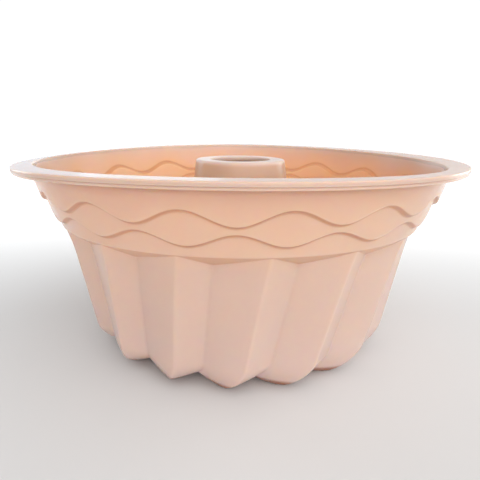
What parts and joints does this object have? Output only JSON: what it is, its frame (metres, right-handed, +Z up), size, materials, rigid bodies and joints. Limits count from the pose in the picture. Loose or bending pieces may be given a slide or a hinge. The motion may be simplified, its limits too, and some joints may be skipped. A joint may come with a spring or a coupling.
{
  "type": "fluted ring cake mould",
  "caption": "Soft silicone ring cake mould with a flat rim, a collar with wave lines, a twisted fluted wall and a hollow centre tube, for baking in the channel round it.",
  "frame": {"origin": "on the mould's axis, in the plane of the pads it stands on", "axes": "+Z up along the axis, out of the mouth; -Y towards the viewer of the picture and +X to the viewer's right"},
  "size_m": [0.25, 0.25, 0.112],
  "materials": {
    "silicone": "matte to satin peach silicone, slightly translucent"
  },
  "bodies": {
    "shell": {"rim_flange": "silicone", "wave_collar": "silicone", "fluted_wall": "silicone", "outer_floor": "silicone"},
    "tube": {"inner_floor": "silicone", "centre_tube": "silicone", "tube_lip": "silicone"}
  },
  "joints": [
    {"name": "tube_push", "type": "slide", "parent": "shell", "child": "tube", "axis": [0, 0, 1], "range_m": [0, 0.02], "stiffness_N_per_m": 800}
  ]
}
